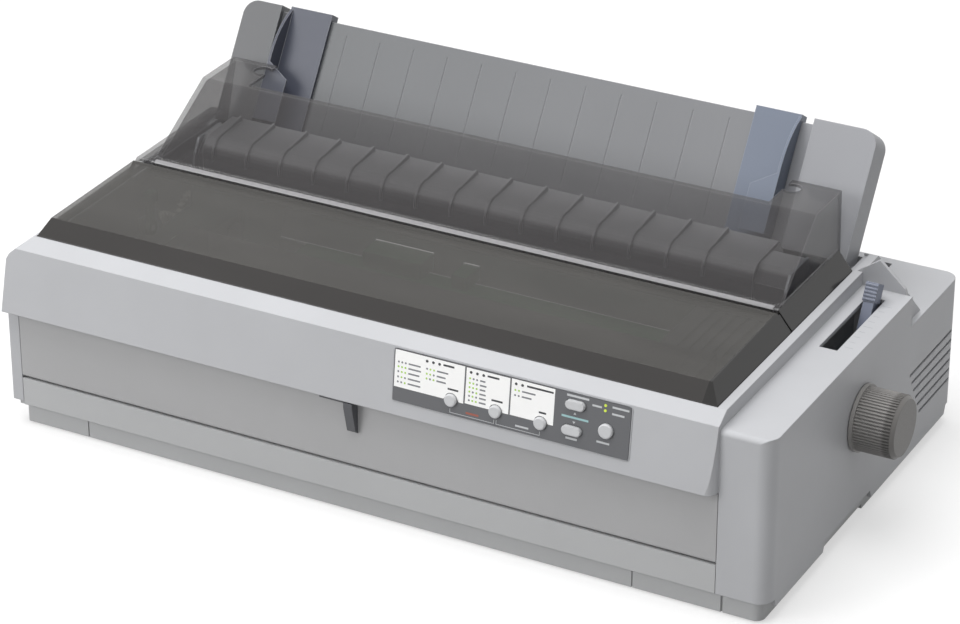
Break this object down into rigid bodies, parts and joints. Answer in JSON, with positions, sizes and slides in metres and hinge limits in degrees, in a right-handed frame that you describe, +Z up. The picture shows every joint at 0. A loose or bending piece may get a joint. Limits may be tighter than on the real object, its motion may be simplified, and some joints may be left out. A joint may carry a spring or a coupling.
{
  "type": "dot matrix printer",
  "caption": "Wide-carriage desktop dot matrix printer with smoked lid and hood, tilting paper guide, button panel, release lever and ribbed platen knob.",
  "frame": {"origin": "on the desk plane, under the centre of the whole printer's bounding box", "axes": "+X to the right seen from the front, along the platen; +Y from the front panel to the rear; +Z up"},
  "size_m": [0.639, 0.3402, 0.2364],
  "materials": {
    "case_grey": "moulded ABS, fine texture",
    "case_front": "moulded ABS, fine texture",
    "case_lower": "moulded ABS, fine texture",
    "smoked": "clear smoked acrylic, polished",
    "guide_grey": "moulded ABS",
    "blue_grey": "moulded ABS",
    "dark_plastic": "moulded plastic",
    "black_plastic": "moulded plastic",
    "panel_grey": "printed overlay",
    "button_white": "moulded plastic",
    "knob_grey": "moulded plastic",
    "green_plastic": "moulded plastic",
    "led": "tinted epoxy",
    "board_green": "solder mask on glass epoxy",
    "rubber": "moulded rubber",
    "belt": "toothed neoprene",
    "ribbon": "inked nylon",
    "steel": "ground",
    "zinc": "zinc-plated sheet",
    "head_alloy": "black anodised die casting",
    "motor": "painted",
    "brass": "turned",
    "acetal": "moulded acetal"
  },
  "bodies": {
    "case": {"lower_case": "case_lower", "rubber_feet": "rubber", "upper_case": "case_grey", "front_trim": "case_front", "case_screws": "steel", "hood": "smoked", "lid_hinge_pins": "steel", "paper_chute": "guide_grey", "control_panel": "panel_grey", "status_leds": "led", "panel_board": "board_green", "platen_bearings": "acetal", "feed_motor": "motor", "frame_left": "zinc", "frame_right": "zinc", "carriage_shaft": "steel", "guide_rail": "zinc", "ribbon_cartridge": "black_plastic", "ink_ribbon": "ribbon", "drive_belt": "belt", "carriage_motor": "motor", "tractor_rod": "steel", "main_board": "board_green", "power_supply": "zinc", "power_inlet": "black_plastic", "switch_housing": "black_plastic"},
    "front_cover": {"front_cover": "case_front", "front_cover_pull": "dark_plastic"},
    "lid": {"lid": "smoked"},
    "paper_guide": {"paper_guide": "guide_grey"},
    "edge_guide_left": {"edge_guide_left": "blue_grey"},
    "edge_guide_right": {"edge_guide_right": "blue_grey"},
    "font_button": {"font_button": "button_white"},
    "pitch_button": {"pitch_button": "button_white"},
    "tear_off_button": {"tear_off_button": "button_white"},
    "load_eject_button": {"load_eject_button": "button_white"},
    "line_feed_button": {"line_feed_button": "button_white"},
    "pause_button": {"pause_button": "button_white"},
    "release_lever": {"release_lever": "blue_grey"},
    "thickness_lever": {"thickness_lever": "green_plastic"},
    "platen": {"platen_shaft": "steel", "platen_roller": "rubber", "platen_gear": "acetal", "platen_knob": "knob_grey"},
    "reduction_gear": {"reduction_gear": "acetal"},
    "feed_motor_pinion": {"feed_motor_pinion": "brass"},
    "feed_idler_front": {"feed_idler_front": "acetal"},
    "feed_idler_middle": {"feed_idler_middle": "acetal"},
    "feed_idler_rear": {"feed_idler_rear": "acetal"},
    "tractor_shaft": {"tractor_shaft": "steel"},
    "carriage": {"carriage": "dark_plastic", "print_head": "head_alloy"},
    "drive_pulley": {"drive_pulley": "brass"},
    "idler_pulley": {"idler_pulley": "acetal"},
    "ribbon_knob": {"ribbon_knob": "acetal"},
    "tractor_left": {"tractor_left": "dark_plastic"},
    "tractor_right": {"tractor_right": "dark_plastic"},
    "tractor_flap_left": {"tractor_flap_left": "dark_plastic"},
    "tractor_flap_right": {"tractor_flap_right": "dark_plastic"},
    "power_switch": {"power_switch": "black_plastic"}
  },
  "joints": [
    {"name": "front_cover_hinge", "type": "hinge", "parent": "case", "child": "front_cover", "pos_m": [-0.0315, -0.15888, 0.0431], "axis": [1, 0, 0], "range_deg": [0, 85]},
    {"name": "lid_hinge", "type": "hinge", "parent": "case", "child": "lid", "pos_m": [-0.0285, -0.02578, 0.1648], "axis": [-1, 0, 0], "range_deg": [0, 105]},
    {"name": "paper_guide_tilt", "type": "hinge", "parent": "case", "child": "paper_guide", "pos_m": [-0.0285, 0.09169, 0.14416], "axis": [-1, 0, 0], "range_deg": [0, 55]},
    {"name": "edge_guide_left_slide", "type": "slide", "parent": "paper_guide", "child": "edge_guide_left", "axis": [1, 0, 0], "range_m": [-0.006, 0.15]},
    {"name": "edge_guide_right_slide", "type": "slide", "parent": "paper_guide", "child": "edge_guide_right", "axis": [1, 0, 0], "range_m": [-0.18, 0.006]},
    {"name": "font_button_press", "type": "slide", "parent": "case", "child": "font_button", "axis": [0, 0.9924, -0.1233], "range_m": [0, 0.0015], "stiffness_N_per_m": 350, "springref_m": -0.0015},
    {"name": "pitch_button_press", "type": "slide", "parent": "case", "child": "pitch_button", "axis": [0, 0.9924, -0.1233], "range_m": [0, 0.0015], "stiffness_N_per_m": 350, "springref_m": -0.0015},
    {"name": "tear_off_button_press", "type": "slide", "parent": "case", "child": "tear_off_button", "axis": [0, 0.9924, -0.1233], "range_m": [0, 0.0015], "stiffness_N_per_m": 350, "springref_m": -0.0015},
    {"name": "load_eject_button_press", "type": "slide", "parent": "case", "child": "load_eject_button", "axis": [0, 0.9924, -0.1233], "range_m": [0, 0.0015], "stiffness_N_per_m": 350, "springref_m": -0.0015},
    {"name": "line_feed_button_press", "type": "slide", "parent": "case", "child": "line_feed_button", "axis": [0, 0.9924, -0.1233], "range_m": [0, 0.0015], "stiffness_N_per_m": 350, "springref_m": -0.0015},
    {"name": "pause_button_press", "type": "slide", "parent": "case", "child": "pause_button", "axis": [0, 0.9924, -0.1233], "range_m": [0, 0.0015], "stiffness_N_per_m": 350, "springref_m": -0.0015},
    {"name": "release_lever_pivot", "type": "hinge", "parent": "case", "child": "release_lever", "pos_m": [0.265, 0.02062, 0.0887], "axis": [1, 0, 0], "range_deg": [0, 55]},
    {"name": "thickness_lever_pivot", "type": "hinge", "parent": "case", "child": "thickness_lever", "pos_m": [-0.2695, -0.04338, 0.12], "axis": [1, 0, 0], "range_deg": [-20, 20]},
    {"name": "platen_turn", "type": "hinge", "parent": "case", "child": "platen", "pos_m": [0.0105, -0.01038, 0.089], "axis": [1, 0, 0], "continuous": true},
    {"name": "reduction_gear_turn", "type": "hinge", "parent": "case", "child": "reduction_gear", "pos_m": [-0.2825, -0.02071, 0.06062], "axis": [1, 0, 0], "continuous": true},
    {"name": "feed_motor_turn", "type": "hinge", "parent": "case", "child": "feed_motor_pinion", "pos_m": [-0.2755, -0.02071, 0.03642], "axis": [1, 0, 0], "continuous": true},
    {"name": "feed_idler_front_turn", "type": "hinge", "parent": "case", "child": "feed_idler_front", "pos_m": [-0.285, 0.02949, 0.09718], "axis": [1, 0, 0], "continuous": true},
    {"name": "feed_idler_middle_turn", "type": "hinge", "parent": "case", "child": "feed_idler_middle", "pos_m": [-0.285, 0.06201, 0.10386], "axis": [1, 0, 0], "continuous": true},
    {"name": "feed_idler_rear_turn", "type": "hinge", "parent": "case", "child": "feed_idler_rear", "pos_m": [-0.285, 0.09453, 0.11053], "axis": [1, 0, 0], "continuous": true},
    {"name": "tractor_shaft_turn", "type": "hinge", "parent": "case", "child": "tractor_shaft", "pos_m": [-0.0315, 0.12852, 0.11751], "axis": [1, 0, 0], "continuous": true},
    {"name": "carriage_travel", "type": "slide", "parent": "case", "child": "carriage", "axis": [1, 0, 0], "range_m": [-0.168, 0.168]},
    {"name": "drive_pulley_turn", "type": "hinge", "parent": "case", "child": "drive_pulley", "pos_m": [0.1855, -0.07338, 0.039], "axis": [0, 0, 1], "range_deg": [-1376, 1376]},
    {"name": "idler_pulley_turn", "type": "hinge", "parent": "case", "child": "idler_pulley", "pos_m": [-0.2475, -0.07338, 0.039], "axis": [0, 0, 1], "range_deg": [-1376, 1376]},
    {"name": "ribbon_knob_turn", "type": "hinge", "parent": "case", "child": "ribbon_knob", "pos_m": [-0.1995, -0.11138, 0.127], "axis": [0, 0, 1], "continuous": true},
    {"name": "tractor_left_slide", "type": "slide", "parent": "case", "child": "tractor_left", "axis": [1, 0, 0], "range_m": [0, 0.1]},
    {"name": "tractor_right_slide", "type": "slide", "parent": "case", "child": "tractor_right", "axis": [1, 0, 0], "range_m": [-0.25, 0]},
    {"name": "tractor_flap_left_hinge", "type": "hinge", "parent": "tractor_left", "child": "tractor_flap_left", "pos_m": [-0.2315, 0.12852, 0.13161], "axis": [0, -1, 0], "range_deg": [0, 110]},
    {"name": "tractor_flap_right_hinge", "type": "hinge", "parent": "tractor_right", "child": "tractor_flap_right", "pos_m": [0.1685, 0.12852, 0.13161], "axis": [0, 1, 0], "range_deg": [0, 110]},
    {"name": "power_switch_rock", "type": "hinge", "parent": "case", "child": "power_switch", "pos_m": [-0.3125, -0.09138, 0.062], "axis": [0, -1, 0], "range_deg": [0, 14]}
  ],
  "couplings": [
    {"joint": "reduction_gear_turn", "follows": "platen_turn", "ratio": -4},
    {"joint": "feed_motor_turn", "follows": "platen_turn", "ratio": 12},
    {"joint": "feed_idler_front_turn", "follows": "platen_turn", "ratio": -1.4545},
    {"joint": "feed_idler_middle_turn", "follows": "platen_turn", "ratio": 1.4545},
    {"joint": "feed_idler_rear_turn", "follows": "platen_turn", "ratio": -1.4545},
    {"joint": "tractor_shaft_turn", "follows": "platen_turn", "ratio": 1.3333},
    {"joint": "drive_pulley_turn", "follows": "carriage_travel", "rad_per_m": -142.86},
    {"joint": "idler_pulley_turn", "follows": "carriage_travel", "rad_per_m": -142.86}
  ]
}
